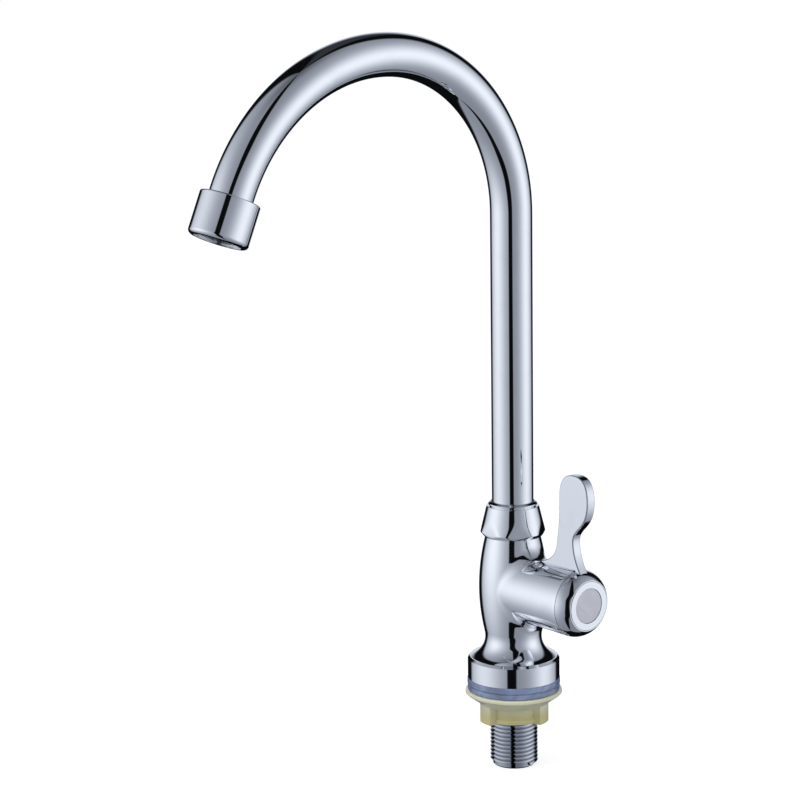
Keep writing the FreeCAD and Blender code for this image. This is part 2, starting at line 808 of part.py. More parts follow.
def blade_outline():
    """Outline of the lever's paddle in the XZ plane, heights taken from the barrel axis."""
    def at(x, height):
        return V(x, -blade_thickness / 2, barrel_z + height)

    bottom = 0.6 * blade_bottom_r
    toe_height = blade_bottom_r + 0.3
    toe = at(blade_toe_x, toe_height)
    left_foot = at(blade_left_foot_x, blade_left_foot_height)
    tip_left = at(blade_tip_left_x, blade_tip_left_height)
    tip_top = at(blade_tip_top_x, blade_tip_top_height)
    tip_right = at(blade_tip_right_x, blade_tip_right_height)
    waist = at(blade_waist_x, blade_waist_height)
    heel = at(blade_heel_x, blade_heel_height)

    def curve(points, tangents):
        spline = Part.BSplineCurve()
        spline.interpolate(Points=points, Tangents=tangents, TangentFlags=[True] * len(points))
        return spline.toShape()

    up = V(0, 0, 1)
    down = V(0, 0, -1)
    across = V(1, 0, 0)
    edges = [
        curve([toe, left_foot, tip_left], [V(1, 0, 0.25), V(0.16, 0, 1), up]),
        curve([tip_left, tip_top, tip_right], [up, across, down]),
        curve([tip_right, waist, heel], [down, down, V(0.55, 0, -0.83)]),
        Part.makeLine(heel, at(blade_heel_x, bottom)),
        Part.makeLine(at(blade_heel_x, bottom), at(blade_toe_x, bottom)),
        Part.makeLine(at(blade_toe_x, bottom), toe),
    ]
    return Part.Face(Part.Wire(edges))


def rim_edges(shape):
    """Edges along both broad faces of the paddle, above its foot."""
    found = []
    for edge in shape.Edges:
        box = edge.BoundBox
        flat = box.YLength < 0.01 and abs(abs(box.YMin) - blade_thickness / 2) < 0.01
        if flat and box.ZMax > barrel_z + blade_bottom_r + 1:
            found.append(edge)
    return found


def lever_handle():
    """Hub with a splined boss, and the paddle that rises from it."""
    paddle = blade_outline().extrude(V(0, blade_thickness, 0))
    paddle = paddle.makeFillet(blade_edge, rim_edges(paddle))
    paddle = paddle.cut(on_barrel(rod(blade_bottom_r, 0, hub_x)))
    front = rod(crown_point(hub_front_x).x - visible_gap, hub_x, blade_tip_right_x)
    paddle = paddle.cut(on_barrel(front))
    hub = crowned([(0, hub_x)], hub_x, hub_front_x)
    boss = rod(hub_boss_r, spline_x + visible_gap, hub_x + visible_gap)
    handle = on_barrel(hub.fuse(boss)).fuse(paddle)
    recess = rod(ring_r + running_gap, ring_back_x, hub_front_x + ring_depth)
    socket = spline_prism(
        spline_r + running_gap, spline_r - spline_depth + running_gap, spline_x, socket_end_x)
    screw_hole = rod(screw_r + sliding_gap, spline_x, ring_front_x)
    head_hole = rod(screw_head_r + 2 * sliding_gap, screw_seat_x, ring_front_x)
    inside = recess.multiFuse([socket, screw_hole, head_hole])
    return handle.cut(on_barrel(inside)).removeSplitter()


def handle_screw():
    head = rod(screw_head_r, screw_seat_x, screw_seat_x + screw_head_height)
    shaft = rod(screw_r, screw_seat_x - screw_length, screw_seat_x + 0.5)
    corner_r = screw_socket_across_flats / 2 / math.cos(math.pi / 6)
    top = screw_seat_x + screw_head_height
    socket = regular_prism(6, corner_r, top - screw_socket_depth, top + 1)
    return on_barrel(head.fuse(shaft).cut(socket))


def cap_ring():
    """Flat bright ring let into the hub's face."""
    return on_barrel(tube(ring_bore_r, ring_r, ring_back_x, ring_front_x, ring_edge))


def index_disc():
    """Bare round disc inside the ring."""
    front = ring_front_x - index_recess
    return on_barrel(tube(0, ring_bore_r - sliding_gap, front - index_thickness, front, 0.2))


makers = [
    body_casting,
    threaded_shank,
    deck_gasket,
    clamp_washer,
    lock_nut,
    coupling_nut,
    spout_tube,
    spout_end_fitting,
    spout_o_rings,
    spout_slip_washer,
    aerator_sleeve,
    aerator_housing,
    aerator_washer,
    aerator_insert,
    flow_diffuser,
    aerator_screen,
    cartridge_housing,
    cartridge_o_ring,
    cartridge_seal,
    fixed_disc,
    moving_disc,
    disc_driver,
    cartridge_spindle,
    spindle_o_rings,
    spindle_clip,
    lever_handle,
    handle_screw,
    cap_ring,
    index_disc,
]

os.makedirs("parts", exist_ok=True)
for maker in makers:
    shape = maker()
    shape.exportStep(f"parts/{maker.__name__}.step")
    print(maker.__name__, "valid" if shape.isValid() else "NOT VALID", len(shape.Solids),
          round(shape.Volume, 1))
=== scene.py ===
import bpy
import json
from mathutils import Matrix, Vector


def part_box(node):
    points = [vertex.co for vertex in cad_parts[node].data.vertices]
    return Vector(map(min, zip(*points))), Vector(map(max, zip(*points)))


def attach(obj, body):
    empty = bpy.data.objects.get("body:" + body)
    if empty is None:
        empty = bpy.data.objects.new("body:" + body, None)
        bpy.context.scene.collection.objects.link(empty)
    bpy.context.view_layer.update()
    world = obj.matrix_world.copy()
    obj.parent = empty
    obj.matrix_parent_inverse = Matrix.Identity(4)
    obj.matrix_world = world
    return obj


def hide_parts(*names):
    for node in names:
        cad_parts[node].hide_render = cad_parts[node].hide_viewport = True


bl_info = {
    "name": "Kitchen tap",
    "version": (1, 0, 0),
    "blender": (4, 5, 0),
    "location": "3D View > Sidebar > Tap",
    "description": "Chromed kitchen tap with a gooseneck spout and a side lever, in its studio",
    "category": "Object",
}

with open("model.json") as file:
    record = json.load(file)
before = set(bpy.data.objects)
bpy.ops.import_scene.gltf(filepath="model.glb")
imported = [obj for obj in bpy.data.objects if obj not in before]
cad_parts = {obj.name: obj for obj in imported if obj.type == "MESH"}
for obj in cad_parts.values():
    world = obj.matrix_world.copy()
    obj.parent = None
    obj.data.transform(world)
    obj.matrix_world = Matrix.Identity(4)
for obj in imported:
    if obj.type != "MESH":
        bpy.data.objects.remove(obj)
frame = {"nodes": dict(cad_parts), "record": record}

import json
import math

import bpy
from bpy.props import FloatProperty, FloatVectorProperty, IntProperty, PointerProperty
from mathutils import Matrix, Vector


def colour_property(name, description, default):
    return FloatVectorProperty(
        name=name, description=description, default=default, subtype="COLOR", size=3, min=0, max=1)


def length_property(name, description, default):
    return FloatProperty(name=name, description=description, default=default, unit="LENGTH", precision=5)


def angle_property(name, description, degrees):
    return FloatProperty(
        name=name, description=description, default=math.radians(degrees), unit="ROTATION", subtype="ANGLE")


def light_property(name, description, default):
    return FloatProperty(name=name, description=description, default=default, min=0)


# radius of the circle that a turned piece's section is swept round, in metres
SWEEP_RADIUS = 0.01
# points closer than this become one where a swept tube's two walls meet, in metres
WELD_DISTANCE = 0.000005
# straight spans in each rounded corner of a section
ROUNDING_SPANS = 6
# longest span along a section, in metres
SECTION_STEP = 0.0003
# steps along the straight riser
RISER_STEPS = 12
# edges between two faces that meet at more than this are sharp
SHARP_ANGLE = math.radians(40.0)
# heights between which the lock nut's nylon turns to its deeper tone, partly the thick nylon's own colour
# and partly painted shade under the flange, in metres
NYLON_DEEP_SHADE_HEIGHT = -0.0135
NYLON_PALE_HEIGHT = -0.0085

# the photograph's camera: its place in metres and its sideways and upward directions
CAMERA_PLACE = (0.82363, -0.76399, 0.34915)
CAMERA_RIGHT = (0.64980, 0.75999, -0.01367)
CAMERA_UP = (-0.13856, 0.13612, 0.98095)
# what the lamps are aimed at, in metres
LAMP_TARGET = (0.0, -0.05, 0.1)

# Directions in the studio are in degrees. A turn is measured round the tap from the camera's side, and a
# rise from the horizon.
# the middle turn, width, middle rise and height of each mirrored panel
LEFT_PANEL = (-82.0, 48.0, 3.0, 37.0)
RIGHT_PANEL = (85.0, 38.0, 0.0, 36.0)

# In the ranges below, a value goes from the third number to the fourth while the turn or the rise goes
# from the first to the second. Where only two numbers stand, it goes up from 0.
# the panels fade towards the ceiling and end at the back
CEILING_FADE = (58.0, 88.0, 1.0, 0.45)
PANELS_END = (124.0, 138.0, 1.0, 0.0)
# the dark strip between the panels: how its middle turns with the rise, above and below the horizon,
# its half width by the distance from the horizon, and its soft edge on both sides of that width
STRIP_LEAN_ABOVE = (12.0, 36.0, -4.5, 9.0)
STRIP_LEAN_BELOW = (-48.0, -27.0, -6.0, 0.0)
STRIP_HALF_WIDTH = (5.0, 25.0, 10.5, 12.5)
STRIP_EDGE = (-2.5, 2.5)
# a dark corner low at the end of the right panel
CORNER_TURN = (118.0, 130.0)
CORNER_RISE = (-46.0, -36.0, 1.0, 0.0)
# the light from behind the tap
BEHIND_FOOT = (-17.0, -12.0)
BEHIND_TOP = (15.0, 38.0, 1.0, 0.05)
BEHIND_TURN = (158.0, 170.0)
# strength of the darkest place that the chrome mirrors
DARKEST_MIRRORED = 0.004
# colours of dim and bright mirrored light, and of the light that isn't mirrored
DIM_TINT = (0.82, 0.89, 1.03)
BRIGHT_TINT = (0.93, 0.97, 1.04)
EVEN_TINT = (0.98, 0.985, 1.0)
# share of the soft light that comes from straight below, and from straight above
LIGHT_FROM_BELOW = 0.7
LIGHT_FROM_ABOVE = 1.1
# the floor's own white, which only the camera sees
FLOOR_WHITE = 0.72
# power of the fill lamp as a share of the key lamp's
FILL_SHARE = 0.4


class TapSizes(bpy.types.PropertyGroup):
    """Sizes of the pieces that are made here over the solids."""

    tube_radius: length_property("Tube radius", "Outer radius of the spout's tube", 0.0091)
    tube_wall: length_property("Tube wall", "Wall thickness of the spout's tube", 0.0009)
    riser_foot: length_property("Riser foot", "Height where the spout's tube starts", 0.0749)
    riser_top: length_property("Riser top", "Height where the straight riser ends", 0.2081)
    crook_radius: length_property("Crook radius", "Bend radius of the spout's crown", 0.0708)
    crook_turn: angle_property("Crook turn", "How far the crown bends", 86.2)
    tip_radius: length_property("Tip bend radius", "Bend radius from the crown to the outlet", 0.0833)
    tip_turn: angle_property("Tip bend turn", "How far the tube bends down to the outlet", 70.3)
    tip_length: length_property("Tip length", "Straight end of the tube inside the aerator", 0.0123)
    thread_root: length_property("Thread root", "Radius at the roots of the shank's thread", 0.00932)
    thread_crest: length_property("Thread crest", "Radius over the crests of the shank's thread", 0.01035)
    bend_step: angle_property("Bend step", "Turn between two rings of the swept tube", 1.5)
    nut_foot: length_property("Nut foot", "Height where the coupling nut starts", 0.0671)
    nut_flat: length_property("Nut flat distance", "From the axis to a spanner flat", 0.0133)
    nut_turn: angle_property("Nut turn", "Direction of the first spanner flat", 28.6)
    nut_softness: length_property("Nut softness", "How far the flats' edges are polished away", 0.0009)
    nut_flats: IntProperty(name="Nut flats", description="Spanner flats round the nut", default=6, min=3)
    nut_sides: IntProperty(name="Nut sides", description="Facets round the nut", default=240, min=24)
    tube_sides: IntProperty(name="Tube sides", description="Facets round the tube", default=96, min=12)


class TapFinishes(bpy.types.PropertyGroup):
    """Colours of the finishes, in linear light."""

    chrome: colour_property("Chrome", "Plated body, spout and nut", (0.93, 0.94, 0.97))
    lever: colour_property("Lever chrome", "Plated lever", (0.83, 0.845, 0.88))
    ring: colour_property("Cap ring", "Bright satin ring of the lever's cap", (0.95, 0.96, 0.98))
    index: colour_property("Index disc", "Matt disc inside the ring", (0.62, 0.64, 0.71))
    # painted shade: this colour stands in for the shade between the thread's crests, darker towards the
    # roots
    thread_root: colour_property("Thread roots", "Dulled plating between the crests", (0.42, 0.44, 0.48))
    seal: colour_property("Sealing rings", "Blue-grey rings on both sides of the deck", (0.16, 0.20, 0.32))
    nylon: colour_property("Lock nut", "Ivory nylon of the lock nut", (0.75, 0.76, 0.57))
    # partly the nylon's own deeper tone, partly painted shade under the flange on the collar and lugs
    nylon_deep_and_shade: colour_property("Lock nut, thick places", "Yellower tone of the nylon", (0.60, 0.56, 0.29))
    brass: colour_property("Brass", "Turned brass of the hidden fittings", (0.78, 0.57, 0.26))
    steel: colour_property("Stainless steel", "Screen, clip and screw", (0.58, 0.58, 0.60))
    rubber: colour_property("Rubber", "Black sealing rubber", (0.018, 0.018, 0.02))
    acetal: colour_property("Acetal", "White moulded plastic", (0.80, 0.80, 0.77))
    ceramic: colour_property("Ceramic", "Lapped discs of the cartridge", (0.84, 0.82, 0.78))


class TapStudio(bpy.types.PropertyGroup):
    """Camera, floor and lights round the tap."""

    lens: FloatProperty(name="Lens", description="Focal length in millimetres", default=119.13, min=1)
    backdrop: colour_property("Backdrop", "Colour behind the tap", (1.0, 1.0, 1.0))
    floor: colour_property("Floor", "Pale floor", (0.40, 0.40, 0.41))
    floor_size: length_property("Floor size", "Side of the square floor", 12.0)
    soft_light: light_property("Soft light", "Strength of the light from all round", 0.80)
    key_light: light_property("Key light", "Power of the large lamp in watts", 9.0)
    panel_base: light_property("Panel base", "Dimmest part of the mirrored panels", 0.29)
    panel_glow: light_property("Panel glow", "Extra light in a panel's middle", 0.70)
    back_panel: light_property("Back panel", "Mirrored light from behind the tap", 0.75)


class Maker:
    """Adds nodes to a tree and joins them."""

    def __init__(self, tree):
        self.tree = tree

    def add(self, kind, **settings):
        node = self.tree.nodes.new(kind)
        for key, value in settings.items():
            setattr(node, key, value)
        return node

    def join(self, source, target):
        self.tree.links.new(source, target)

    def fill(self, socket, value):
        if isinstance(value, bpy.types.NodeSocket):
            self.join(value, socket)
        else:
            socket.default_value = value

    def number(self, operation, *values):
        node = self.add("ShaderNodeMath", operation=operation)
        for socket, value in zip(node.inputs, values):
            self.fill(socket, value)
        return node.outputs[0]

    def from_axis(self, across, along):
        """Distance from an axis, of the two places beside it."""
        square = self.number("MULTIPLY_ADD", across, across, self.number("MULTIPLY", along, along))
        return self.number("SQRT", square)

    def spread(self, value, low, high, to_low=0.0, to_high=1.0, smooth=True):
        node = self.add("ShaderNodeMapRange", interpolation_type="SMOOTHSTEP" if smooth else "LINEAR")
        for name, given in (
            ("Value", value),
            ("From Min", low),
            ("From Max", high),
            ("To Min", to_low),
            ("To Max", to_high),
        ):
            self.fill(node.inputs[name], given)
        return node.outputs["Result"]

    def blend(self, share, first, second):
        node = self.add("ShaderNodeMix", data_type="RGBA")
        self.fill(node.inputs[0], share)
        self.fill(node.inputs[6], first)
        self.fill(node.inputs[7], second)
        return node.outputs[2]


def opaque(colour):
    return (colour[0], colour[1], colour[2], 1.0)


def scaled(colour, factor):
    return tuple(min(1.0, part * factor) for part in colour)


def shader_group(name, inputs, outputs):
    """An empty shader group with named inputs and outputs."""
    tree = bpy.data.node_groups.new(name, "ShaderNodeTree")
    for label, kind, default in inputs:
        socket = tree.interface.new_socket(label, in_out="INPUT", socket_type=kind)
        socket.default_value = default
    for label, kind in outputs:
        tree.interface.new_socket(label, in_out="OUTPUT", socket_type=kind)
    maker = Maker(tree)
    return maker, maker.add("NodeGroupInput").outputs, maker.add("NodeGroupOutput").inputs


def plated_surface_group():
    """Slow waves under the plating, wiped smears and fine hairlines."""
    maker, given, put = shader_group("Plated surface", [
        ("Wave scale", "NodeSocketFloat", 45.0),
        ("Wave height", "NodeSocketFloat", 0.00002),
        ("Smear scale", "NodeSocketFloat", 90.0),
        ("Clean roughness", "NodeSocketFloat", 0.02),
        ("Smeared roughness", "NodeSocketFloat", 0.07),
        ("Hairline height", "NodeSocketFloat", 0.0000004),
    ], [
        ("Roughness", "NodeSocketFloat"),
        ("Tone", "NodeSocketFloat"),
        ("Normal", "NodeSocketVector"),
    ])
    place = maker.add("ShaderNodeTexCoord").outputs["Object"]
    wave = maker.add("ShaderNodeTexNoise")
    wave.inputs["Detail"].default_value = 1.0
    maker.join(place, wave.inputs["Vector"])
    maker.join(given["Wave scale"], wave.inputs["Scale"])
    smear = maker.add("ShaderNodeTexNoise")
    smear.inputs["Detail"].default_value = 6.0
    smear.inputs["Distortion"].default_value = 0.6
    maker.join(place, smear.inputs["Vector"])
    maker.join(given["Smear scale"], smear.inputs["Scale"])
    smeared = maker.spread(smear.outputs[0], 0.50, 0.72)
    rough = maker.spread(
        smeared, 0.0, 1.0, given["Clean roughness"], given["Smeared roughness"], smooth=False)
    stretch = maker.add("ShaderNodeMapping")
    stretch.inputs["Scale"].default_value = (2600.0, 2600.0, 60.0)
    stretch.inputs["Rotation"].default_value = (0.3, 0.5, 0.2)
    maker.join(place, stretch.inputs["Vector"])
    hair = maker.add("ShaderNodeTexNoise")
    hair.inputs["Scale"].default_value = 1.0
    hair.inputs["Detail"].default_value = 2.0
    maker.join(stretch.outputs[0], hair.inputs["Vector"])
    lines = maker.spread(hair.outputs[0], 0.66, 0.74)
    height = maker.number(
        "MULTIPLY_ADD", wave.outputs[0], given["Wave height"],
        maker.number("MULTIPLY", lines, given["Hairline height"]))
    bump = maker.add("ShaderNodeBump")
    bump.inputs["Distance"].default_value = 1.0
    maker.join(height, bump.inputs["Height"])
    maker.join(rough, put["Roughness"])
    maker.join(smeared, put["Tone"])
    maker.join(bump.outputs[0], put["Normal"])
    return maker.tree


def moulded_surface_group():
    """Fine moulded grain with slow flow marks in its tone."""
    maker, given, put = shader_group("Moulded surface", [
        ("Grain scale", "NodeSocketFloat", 1800.0),
        ("Grain height", "NodeSocketFloat", 0.00001),
        ("Flow scale", "NodeSocketFloat", 140.0),
        ("Low roughness", "NodeSocketFloat", 0.35),
        ("High roughness", "NodeSocketFloat", 0.5),
    ], [
        ("Roughness", "NodeSocketFloat"),
        ("Flow", "NodeSocketFloat"),
        ("Normal", "NodeSocketVector"),
    ])
    place = maker.add("ShaderNodeTexCoord").outputs["Object"]
    grain = maker.add("ShaderNodeTexNoise")
    grain.inputs["Detail"].default_value = 3.0
    maker.join(place, grain.inputs["Vector"])
    maker.join(given["Grain scale"], grain.inputs["Scale"])
    flow = maker.add("ShaderNodeTexNoise")
    flow.inputs["Detail"].default_value = 4.0
    flow.inputs["Distortion"].default_value = 1.2
    maker.join(place, flow.inputs["Vector"])
    maker.join(given["Flow scale"], flow.inputs["Scale"])
    bump = maker.add("ShaderNodeBump")
    bump.inputs["Distance"].default_value = 1.0
    maker.join(maker.number("MULTIPLY", grain.outputs[0], given["Grain height"]), bump.inputs["Height"])
    streaks = maker.spread(flow.outputs[0], 0.3, 0.7)
    maker.join(
        maker.spread(streaks, 0.0, 1.0, given["Low roughness"], given["High roughness"], smooth=False),
        put["Roughness"])
    maker.join(streaks, put["Flow"])
    maker.join(bump.outputs[0], put["Normal"])
    return maker.tree


def shared_group(name, build):
    """The group of that name, made when it is first asked for."""
    return bpy.data.node_groups.get(name) or build()


def blank_material(name):
    """A material with one principled shader, ready for its nodes."""
    material = bpy.data.materials.new(name)
    material.use_nodes = True
    maker = Maker(material.node_tree)
    maker.tree.nodes.clear()
    shader = maker.add("ShaderNodeBsdfPrincipled")
    end = maker.add("ShaderNodeOutputMaterial")
    maker.join(shader.outputs[0], end.inputs["Surface"])
    return material, maker, shader


def use_group(maker, tree, **values):
    node = maker.add("ShaderNodeGroup", node_tree=tree)
    for key, value in values.items():
        node.inputs[key.replace("_", " ").capitalize()].default_value = value
    return node.outputs


def plated_metal(name, colour, **values):
    """Bright plating whose tone and gloss change a little over the surface."""
    material, maker, shader = blank_material(name)
    surface = use_group(maker, shared_group("Plated surface", plated_surface_group), **values)
    shader.inputs["Metallic"].default_value = 1.0
    smeared = scaled(colour, 0.97)
    maker.join(maker.blend(surface["Tone"], opaque(colour), opaque(smeared)), shader.inputs["Base Color"])
    maker.join(surface["Roughness"], shader.inputs["Roughness"])
    maker.join(surface["Normal"], shader.inputs["Normal"])
    return material


def add_shade(material, measure, low, high, low_tone):
    """Blend to a second tone where a measure of the place on the piece is low."""
    maker = Maker(material.node_tree)
    shader = next(node for node in maker.tree.nodes if node.type == "BSDF_PRINCIPLED")
    tone = shader.inputs["Base Color"].links[0].from_socket
    parts = maker.add("ShaderNodeSeparateXYZ")
    maker.join(maker.add("ShaderNodeTexCoord").outputs["Object"], parts.inputs[0])
    share = maker.spread(measure(maker, parts.outputs), low, high)
    maker.join(maker.blend(share, opaque(low_tone), tone), shader.inputs["Base Color"])
    return material


def add_thread_shade(material, minor_radius, major_radius, painted_root_shade):
    """Paint shade into the roots of the shank's thread, found by the distance from its axis."""
    def from_axis(maker, place):
        return maker.from_axis(place["X"], place["Y"])

    return add_shade(material, from_axis, minor_radius, major_radius, painted_root_shade)


def add_depth_shade(material, low, high, low_tone):
    """Change to a second tone below a height: partly the deeper colour of thick moulded places, partly
    painted shade below an overhang.
    """
    def height(maker, place):
        return place["Z"]

    return add_shade(material, height, low, high, low_tone)


def moulded_plastic(name, colour, second, specular=0.5, subsurface=0.0, depth=0.001, **values):
    """Plastic or rubber with flow marks between two close tones."""
    material, maker, shader = blank_material(name)
    surface = use_group(maker, shared_group("Moulded surface", moulded_surface_group), **values)
    maker.join(maker.blend(surface["Flow"], opaque(colour), opaque(second)), shader.inputs["Base Color"])
    maker.join(surface["Roughness"], shader.inputs["Roughness"])
    maker.join(surface["Normal"], shader.inputs["Normal"])
    shader.inputs["Specular IOR Level"].default_value = specular
    shader.inputs["Subsurface Weight"].default_value = subsurface
    shader.inputs["Subsurface Radius"].default_value = (1.0, 0.9, 0.6)
    shader.inputs["Subsurface Scale"].default_value = depth
    return material


def make_finishes(colours, sizes):
    """Every finish of the tap, by the record's slot name."""
    return {
        "chrome_plate": plated_metal("Chrome plate", colours.chrome, wave_height=0.000012),
        # the thread's roots get painted shade, darker nearer the axis
        "thread": add_thread_shade(
            plated_metal("Thread chrome", colours.chrome, wave_height=0.0, clean_roughness=0.06,
                         smeared_roughness=0.12),
            sizes.thread_root, sizes.thread_crest, colours.thread_root),
        "lever_chrome": plated_metal(
            "Lever chrome", colours.lever, wave_scale=30.0, wave_height=0.00001, smeared_roughness=0.09),
        "bright_ring": plated_metal(
            "Satin ring", colours.ring, clean_roughness=0.10, smeared_roughness=0.18, wave_height=0.0),
        "matt_grey": moulded_plastic(
            "Index grey", colours.index, scaled(colours.index, 1.12), grain_scale=2600.0,
            grain_height=0.00003, low_roughness=0.45, high_roughness=0.6),
        "blue_grey_seal": moulded_plastic(
            "Blue-grey seal", colours.seal, scaled(colours.seal, 1.8), specular=0.9, subsurface=0.2,
            depth=0.0012, low_roughness=0.06, high_roughness=0.16, flow_scale=110.0),
        # below the flange the nylon gets a darker, yellower tone: partly painted shade, partly the thick
        # nylon's own colour
        "ivory_nylon": add_depth_shade(moulded_plastic(
            "Ivory nylon", colours.nylon, scaled(colours.nylon, 0.9), subsurface=0.35, depth=0.002,
            low_roughness=0.3, high_roughness=0.45, flow_scale=70.0),
            NYLON_DEEP_SHADE_HEIGHT, NYLON_PALE_HEIGHT, colours.nylon_deep_and_shade),
        "plain_brass": plated_metal(
            "Turned brass", colours.brass, clean_roughness=0.2, smeared_roughness=0.34, wave_height=0.0),
        "black_rubber": moulded_plastic(
            "Black rubber", colours.rubber, scaled(colours.rubber, 1.6), low_roughness=0.4,
            high_roughness=0.6),
        "white_acetal": moulded_plastic(
            "White acetal", colours.acetal, scaled(colours.acetal, 0.95), subsurface=0.1, depth=0.0008),
        "stainless": plated_metal(
            "Stainless steel", colours.steel, clean_roughness=0.25, smeared_roughness=0.4, wave_height=0.0),
        "alumina": moulded_plastic(
            "Alumina", colours.ceramic, scaled(colours.ceramic, 0.96), grain_height=0.000004,
            low_roughness=0.12, high_roughness=0.2),
    }


def slot_of(node):
    """The record's material slot of a CAD node."""
    for entry in frame["record"]["subparts"]:
        if entry["node"] == node:
            return entry["material_slot"]
    raise RuntimeError(f"the record gives {node} no material slot")


def finish_of(slot):
    """The material made for a slot, kept by name on the scene."""
    return bpy.data.materials[bpy.context.scene["tap_finishes"][slot]]


class TAP_OT_finishes(bpy.types.Operator):
    """Makes the finishes and puts them on the solids"""

    bl_idname = "tap.finishes"
    bl_label = "Finishes"

    def execute(self, context):
        finishes = make_finishes(context.scene.tap_finish, context.scene.tap_size)
        context.scene["tap_finishes"] = {slot: material.name for slot, material in finishes.items()}
        for node, solid in frame["nodes"].items():
            material = finishes["thread" if node == "threaded_shank" else slot_of(node)]
            if not solid.material_slots:
                solid.data.materials.append(material)
            for place in solid.material_slots:
                place.material = material
        return {"FINISHED"}


def geometry_group(name, inputs):
    """An empty geometry group that takes a line, its named inputs and a finish."""
    tree = bpy.data.node_groups.new(name, "GeometryNodeTree")
    tree.interface.new_socket("Geometry", in_out="INPUT", socket_type="NodeSocketGeometry")
    for label, kind in inputs:
        tree.interface.new_socket(label, in_out="INPUT", socket_type=kind)
    tree.interface.new_socket("Finish", in_out="INPUT", socket_type="NodeSocketMaterial")
    tree.interface.new_socket("Geometry", in_out="OUTPUT", socket_type="NodeSocketGeometry")
    maker = Maker(tree)
    return maker, maker.add("NodeGroupInput").outputs


def finish_geometry(maker, shape, finish):
    """End a geometry group: make its result real and give it the finish."""
    whole = maker.add("GeometryNodeRealizeInstances")
    maker.join(shape, whole.inputs[0])
    finished = maker.add("GeometryNodeSetMaterial")
    maker.join(whole.outputs[0], finished.inputs["Geometry"])
    maker.join(finish, finished.inputs["Material"])
    maker.join(finished.outputs[0], maker.add("NodeGroupOutput").inputs[0])
    return maker.tree


def hollow_tube_group():
    """Geometry nodes that sweep a round tube along a line and give it a wall."""
    maker, given = geometry_group("Hollow tube", [
        ("Radius", "NodeSocketFloat"),
        ("Wall", "NodeSocketFloat"),
        ("Sides", "NodeSocketInt"),
    ])
    route = maker.add("GeometryNodeMeshToCurve")
    maker.join(given["Geometry"], route.inputs["Mesh"])
    ring = maker.add("GeometryNodeCurvePrimitiveCircle")
    maker.join(given["Sides"], ring.inputs["Resolution"])
    maker.join(given["Radius"], ring.inputs["Radius"])
    sweep = maker.add("GeometryNodeCurveToMesh")
    maker.join(route.outputs[0], sweep.inputs["Curve"])
    maker.join(ring.outputs["Curve"], sweep.inputs["Profile Curve"])
    inward = maker.add("GeometryNodeExtrudeMesh", mode="FACES")
    inward.inputs["Individual"].default_value = False
    maker.join(sweep.outputs[0], inward.inputs["Mesh"])
    maker.join(maker.number("MULTIPLY", given["Wall"], -1.0), inward.inputs["Offset Scale"])
    lining = maker.add("GeometryNodeFlipFaces")
    maker.join(inward.outputs["Mesh"], lining.inputs["Mesh"])
    both = maker.add("GeometryNodeJoinGeometry")
    maker.join(sweep.outputs[0], both.inputs[0])
    maker.join(lining.outputs[0], both.inputs[0])
    closed = maker.add("GeometryNodeMergeByDistance")
    closed.inputs["Distance"].default_value = WELD_DISTANCE
    maker.join(both.outputs[0], closed.inputs[0])
    return finish_geometry(maker, closed.outputs[0], given["Finish"])


def soft_flats_group():
    """Geometry nodes that sweep a section round the Z axis and press soft spanner flats into it."""
    maker, given = geometry_group("Soft flats", [
        ("Sides", "NodeSocketInt"),
        ("Flats", "NodeSocketInt"),
        ("Distance", "NodeSocketFloat"),
        ("Turn", "NodeSocketFloat"),
        ("Softness", "NodeSocketFloat"),
    ])
    section = maker.add("GeometryNodeMeshToCurve")
    maker.join(given["Geometry"], section.inputs["Mesh"])
    round_way = maker.add("GeometryNodeCurvePrimitiveCircle")
    maker.join(given["Sides"], round_way.inputs["Resolution"])
    round_way.inputs["Radius"].default_value = SWEEP_RADIUS
    sweep = maker.add("GeometryNodeCurveToMesh")
    maker.join(round_way.outputs["Curve"], sweep.inputs["Curve"])
    maker.join(section.outputs[0], sweep.inputs["Profile Curve"])
    parts = maker.add("ShaderNodeSeparateXYZ")
    maker.join(maker.add("GeometryNodeInputPosition").outputs[0], parts.inputs[0])
    across, along = parts.outputs["X"], parts.outputs["Y"]
    radius = maker.from_axis(across, along)
    turned = maker.number("SUBTRACT", maker.number("ARCTAN2", along, across), given["Turn"])
    half = maker.number("DIVIDE", math.pi, given["Flats"])
    from_flat = maker.number("WRAP", turned, half, maker.number("MULTIPLY", half, -1.0))
    flat = maker.number("DIVIDE", given["Distance"], maker.number("COSINE", from_flat))
    pressed = maker.number("SMOOTH_MIN", radius, flat, given["Softness"])
    share = maker.number("DIVIDE", pressed, radius)
    place = maker.add("ShaderNodeCombineXYZ")
    maker.join(maker.number("MULTIPLY", across, share), place.inputs["X"])
    maker.join(maker.number("MULTIPLY", along, share), place.inputs["Y"])
    maker.join(parts.outputs["Z"], place.inputs["Z"])
    shaped = maker.add("GeometryNodeSetPosition")
    maker.join(sweep.outputs[0], shaped.inputs["Geometry"])
    maker.join(place.outputs[0], shaped.inputs["Position"])
    return finish_geometry(maker, shaped.outputs[0], given["Finish"])


def rounded_section(corners, step):
    """A closed outline through corners (radius, height, rounding), with no span longer than the step."""
    outline = []
    for index, (across, up, rounding) in enumerate(corners):
        here = Vector((across, up))
        before = (Vector(corners[index - 1][:2]) - here).normalized()
        after = (Vector(corners[(index + 1) % len(corners)][:2]) - here).normalized()
        if not rounding:
            outline.append(here)
            continue
        half = before.angle(after) / 2
        centre = here + (before + after).normalized() * rounding / math.sin(half)
        first = here + before * rounding / math.tan(half) - centre
        last = here + after * rounding / math.tan(half) - centre
        for count in range(ROUNDING_SPANS + 1):
            turned = first.slerp(last, count / ROUNDING_SPANS).normalized()
            outline.append(centre + turned * rounding)
    dense = []
    for index, point in enumerate(outline):
        span = outline[(index + 1) % len(outline)] - point
        pieces = max(1, math.ceil(span.length / step))
        dense += [point + span * count / pieces for count in range(pieces)]
    return dense


